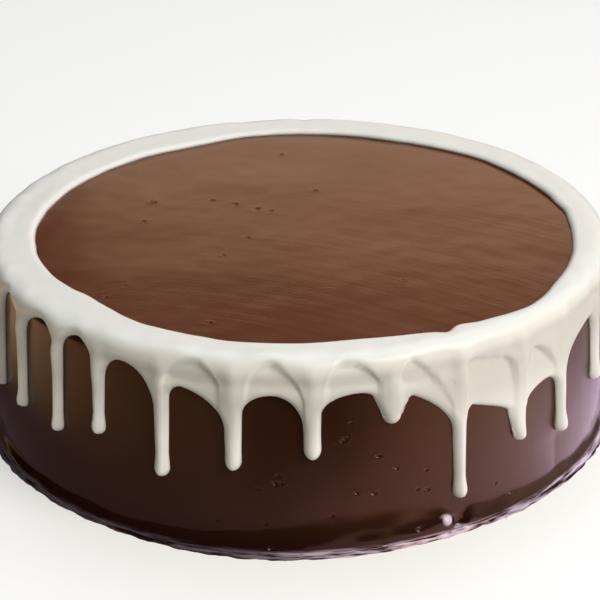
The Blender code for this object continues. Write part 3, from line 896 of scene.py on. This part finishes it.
COLUMNS = RUN_COUNT * RUN_COLUMNS
icing = placed_sheet("white_chocolate_icing", COLUMNS, band_end + STEM_ROWS, outer_point)
under = placed_sheet("underside_of_icing", COLUMNS, len(under_rows) - 1, under_point)
bpy.ops.object.select_all(action="DESELECT")
under.select_set(True)
icing.select_set(True)
bpy.context.view_layer.objects.active = icing
bpy.ops.object.join()
edit(icing, "VERT")
bpy.ops.mesh.select_all(action="SELECT")
bpy.ops.mesh.remove_doubles(threshold=0.012 * MM)
bpy.ops.object.mode_set(mode="OBJECT")
shape = edit(icing, "EDGE")
pick(icing, shape.edges, lambda edge: edge.is_boundary)
bpy.ops.mesh.fill_holes(sides=0)
bpy.ops.mesh.select_all(action="SELECT")
bpy.ops.mesh.normals_make_consistent(inside=False)
bpy.ops.object.mode_set(mode="OBJECT")
bpy.ops.object.shade_smooth()


# Colours of the white chocolate, the first pair for its darker and its paler clouds
IVORY = ((0.82, 0.80, 0.75), (0.85, 0.84, 0.80))
# A greyer colour for the band below the lip: partly the icing stretched thin over the dark glaze, partly
# painted shade under the lip
THIN_ICING_AND_UNDER_LIP_SHADE = (0.67, 0.655, 0.60)


def icing_material():
    """White chocolate: ivory, satin, a little see-through, and greyer in a band below the lip, partly where it
    stretched thin and partly painted shade under the lip.
    """
    made = bpy.data.materials.new("white_chocolate")
    made.use_nodes = True
    tree = made.node_tree
    shader = tree.nodes["Principled BSDF"]
    shader.inputs["IOR"].default_value = 1.45
    shader.inputs["Subsurface Weight"].default_value = 0.15
    shader.inputs["Subsurface Radius"].default_value = (1.0, 0.75, 0.45)
    shader.inputs["Subsurface Scale"].default_value = 0.002
    coords = add_node(tree, "ShaderNodeTexCoord", (-1100, 0)).outputs["Object"]
    clouds = use_mottling(tree, coords, (-850, 100), Cloud_Scale=30.0, Contrast=1.4, Grain_Scale=700.0)
    parts = add_node(tree, "ShaderNodeSeparateXYZ", (-850, 400))
    feed(tree, coords, parts.inputs[0])
    below_lip = map_range(tree, parts.outputs["Z"], (-650, 500), 0.0660, 0.0625, 0, 1)
    above_stems = map_range(tree, parts.outputs["Z"], (-650, 300), 0.040, 0.050, 0, 1)
    # Greyer below the lip and above the stems: partly thin icing, partly painted shade
    stretched = calculate(tree, "MULTIPLY", (-450, 400), below_lip, above_stems)
    cloudy = mix_colours(tree, clouds.outputs["Mask"], *IVORY, (-550, 100))
    feed(tree, mix_colours(tree, stretched, cloudy, THIN_ICING_AND_UNDER_LIP_SHADE, (-250, 200)), shader.inputs["Base Color"])
    rough = map_range(tree, clouds.outputs["Mask"], (-550, -50), 0, 1, 0.30, 0.40)
    feed(tree, rough, shader.inputs["Roughness"])
    grain = add_node(tree, "ShaderNodeBump", (-300, -300), Strength=0.08, Distance=0.0002)
    feed(tree, clouds.outputs["Grain"], grain.inputs["Height"])
    feed(tree, grain.outputs[0], shader.inputs["Normal"])
    return made


icing.data.materials.clear()
icing.data.materials.append(icing_material())
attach(icing, "root")
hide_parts("white_chocolate_rim")
icing.select_set(False)


# The studio: a plain pale floor that fills the picture, soft lights from above, behind and the front right,
# and a dim room that glows at the right and low at the back.
bpy.ops.mesh.primitive_plane_add(size=30)
floor = bpy.context.object
floor.name = floor.data.name = "studio_floor"

# A painted reflection: the colour that the floor glows with for the glaze to mirror, as (angle round the cake,
# colour), close to the cake and farther off
BRIGHTEST = 3
NEAR_MIRROR = (
    (-180, (0.40, 0.30, 0.30)), (-90, (0.05, 0.03, 0.025)), (-40, (0.26, 0.17, 0.20)),
    (-5, (0.42, 0.30, 0.42)), (20, (1.35, 1.0, 1.05)), (58, (2.45, 1.9, 2.35)),
    (90, (1.1, 0.8, 1.1)), (180, (0.40, 0.30, 0.30)),
)
FAR_MIRROR = (
    (-180, (0.8, 0.55, 0.40)), (-90, (1.4, 0.84, 0.44)), (-40, (0.48, 0.35, 0.20)), (-18, (0.42, 0.32, 0.20)),
    (-8, (0.0, 0.0, 0.0)), (12, (0.0, 0.0, 0.0)), (30, (1.35, 0.85, 0.65)), (58, (1.9, 1.55, 1.2)),
    (90, (0.7, 0.48, 0.35)), (180, (0.8, 0.55, 0.40)),
)


# The floor's paint as the picture shows it, a little of it lit from within, and as it throws light up at the
# cake
SEEN_PAINT, SEEN_GLOW, BOUNCING_PAINT = (0.66, 0.65, 0.64), (0.39, 0.38, 0.37), (0.60, 0.585, 0.55)
# The distances from the cake's axis, in metres, at which the near mirror gives way to the far one and that
# one ends
NEAR_TO_FAR, FAR_TO_NOTHING = (0.150, 0.225), (0.28, 0.38)


def mirror_ramp(tree, turn, stops, place):
    """A colour that changes round the cake."""
    made = add_node(tree, "ShaderNodeValToRGB", place)
    band = made.color_ramp
    for number, (angle, colour) in enumerate(stops):
        stop = band.elements[number] if number < 2 else band.elements.new(1)
        stop.position = angle / 360 + 0.5
        stop.color = (*(value / BRIGHTEST for value in colour), 1)
    feed(tree, turn, made.inputs["Fac"])
    return made.outputs["Color"]


def floor_material():
    """Pale paint. To mirror rays the floor instead glows with a painted reflection, dim in front, warm at the
    left and lilac to the right.
    """
    made = bpy.data.materials.new("studio_floor_paint")
    made.use_nodes = True
    tree = made.node_tree
    shader = tree.nodes["Principled BSDF"]
    shader.inputs["Roughness"].default_value = 0.8
    shader.inputs["Specular IOR Level"].default_value = 0.2
    path = add_node(tree, "ShaderNodeLightPath", (-500, 300))
    paint = mix_colours(tree, path.outputs["Is Camera Ray"], BOUNCING_PAINT, SEEN_PAINT, (-100, 300))
    feed(tree, paint, shader.inputs["Base Color"])
    feed(tree, SEEN_GLOW, shader.inputs["Emission Color"])
    feed(tree, path.outputs["Is Camera Ray"], shader.inputs["Emission Strength"])
    coords = add_node(tree, "ShaderNodeTexCoord", (-1100, 0)).outputs["Object"]
    parts = add_node(tree, "ShaderNodeSeparateXYZ", (-900, 0))
    feed(tree, coords, parts.inputs[0])
    reach = calculate(tree, "LENGTH", (-900, 250), coords, kind="ShaderNodeVectorMath", output="Value")
    to_front = calculate(tree, "MULTIPLY", (-900, -200), parts.outputs["Y"], -1)
    turned = calculate(tree, "ARCTAN2", (-750, -100), parts.outputs["X"], to_front)
    round_about = map_range(tree, turned, (-600, -100), -math.pi, math.pi, 0, 1)
    near = mirror_ramp(tree, round_about, NEAR_MIRROR, (-400, 0))
    far = mirror_ramp(tree, round_about, FAR_MIRROR, (-400, -300))
    far_off = map_range(tree, reach, (-400, 300), *NEAR_TO_FAR, 0, 1)
    # The painted reflection: a glow that only mirror rays see
    mirrored = add_node(tree, "ShaderNodeEmission", (100, -100))
    feed(tree, mix_colours(tree, far_off, near, far, (-100, -100)), mirrored.inputs["Color"])
    strength = map_range(tree, reach, (-100, -400), *FAR_TO_NOTHING, BRIGHTEST, 0.2)
    feed(tree, strength, mirrored.inputs["Strength"])
    both = add_node(tree, "ShaderNodeMixShader", (350, 100))
    feed(tree, path.outputs["Is Glossy Ray"], both.inputs[0])
    feed(tree, shader.outputs[0], both.inputs[1])
    feed(tree, mirrored.outputs[0], both.inputs[2])
    output = tree.nodes["Material Output"]
    output.location = (550, 100)
    feed(tree, both.outputs[0], output.inputs["Surface"])
    return made


floor.data.materials.append(floor_material())


CAKE_MIDDLE = Vector((0, 0, 0.04))


def soft_light(name, place, size, power, colour):
    """An area light of a width and a height that looks at the cake."""
    lamp = bpy.data.lights.new(name, "AREA")
    lamp.shape = "RECTANGLE"
    lamp.size, lamp.size_y = size
    lamp.energy = power
    lamp.color = colour
    made = bpy.data.objects.new(name, lamp)
    bpy.context.scene.collection.objects.link(made)
    made.location = place
    made.rotation_euler = (CAKE_MIDDLE - Vector(place)).to_track_quat("-Z", "Y").to_euler()
    return made


soft_light("ceiling_light", (0.1, 0.7, 2.0), (1.8, 1.8), 20.5, (0.83, 1.0, 1.15))
soft_light("back_light", (0.35, 2.0, 0.8), (1.6, 0.4), 2.4, (1.0, 0.87, 0.52))
soft_light("fill_light", (1.05, -1.0, 1.2), (1.1, 1.1), 26, (1.0, 1.0, 0.97))
soft_light("front_light", (0.1, -1.0, 1.6), (0.7, 0.7), 4.5, (1.0, 0.78, 0.45))

# The room: dim, with soft glows as (direction, tightness, colour)
ROOM_DIM = (0.01, 0.01, 0.01)
GLOWS = (((0.2, 1.0, 0.1), 12, (0.60, 0.16, 0.18)), ((1.0, 0.0, 0.0), 6, (1.25, 1.06, 1.04)))
world = bpy.data.worlds.new("studio_room")
bpy.context.scene.world = world
world.use_nodes = True
room = world.node_tree
direction = add_node(room, "ShaderNodeTexCoord", (-900, 0)).outputs["Generated"]


def glow(towards, tightness, colour, before, place):
    """Adds to the room a soft glow that is brightest towards one direction."""
    x, y = place
    facing = calculate(
        room, "DOT_PRODUCT", (x, y), direction, Vector(towards).normalized(), kind="ShaderNodeVectorMath",
        output="Value",
    )
    above = calculate(room, "MAXIMUM", (x + 180, y), facing, 0)
    falloff = calculate(room, "POWER", (x + 360, y), above, tightness)
    tinted = add_node(room, "ShaderNodeVectorMath", (x + 540, y), operation="SCALE")
    tinted.inputs[0].default_value = colour
    feed(room, falloff, tinted.inputs["Scale"])
    return calculate(room, "ADD", (x + 720, y), tinted.outputs[0], before, kind="ShaderNodeVectorMath")


light = ROOM_DIM
for number, (towards, tightness, colour) in enumerate(GLOWS):
    light = glow(towards, tightness, colour, light, (-700, 300 - 200 * number))
feed(room, light, room.nodes["Background"].inputs["Color"])
room.nodes["Background"].inputs["Strength"].default_value = 1.0
bpy.context.scene.view_settings.view_transform = "Standard"

# The camera, where the photographer stood: 60 cm off, in front of the cake and above it
CAMERA_DISTANCE, CAMERA_ELEVATION = 600, 0.50334
CAMERA_PITCH, CAMERA_YAW, CAMERA_ROLL = 0.45145, 0.00175, -0.00927
FOCAL_PIXELS, PICTURE_PIXELS, SENSOR = 1479.56, 600, 36.0
forward = Vector((
    math.sin(CAMERA_YAW) * math.cos(CAMERA_PITCH), math.cos(CAMERA_YAW) * math.cos(CAMERA_PITCH),
    -math.sin(CAMERA_PITCH),
))
level_right = forward.cross(Vector((0, 0, 1))).normalized()
level_up = level_right.cross(forward)
right = level_right * math.cos(CAMERA_ROLL) + level_up * math.sin(CAMERA_ROLL)
up = level_up * math.cos(CAMERA_ROLL) - level_right * math.sin(CAMERA_ROLL)
lens = bpy.data.cameras.new("camera")
lens.lens = FOCAL_PIXELS / PICTURE_PIXELS * SENSOR
lens.sensor_width = SENSOR
camera = bpy.data.objects.new("camera", lens)
bpy.context.scene.collection.objects.link(camera)
camera.matrix_world = Matrix.Translation(
    (0, -CAMERA_DISTANCE * math.cos(CAMERA_ELEVATION) * MM, CAMERA_DISTANCE * math.sin(CAMERA_ELEVATION) * MM)
) @ Matrix((right, up, -forward)).transposed().to_4x4()
bpy.context.scene.camera = camera
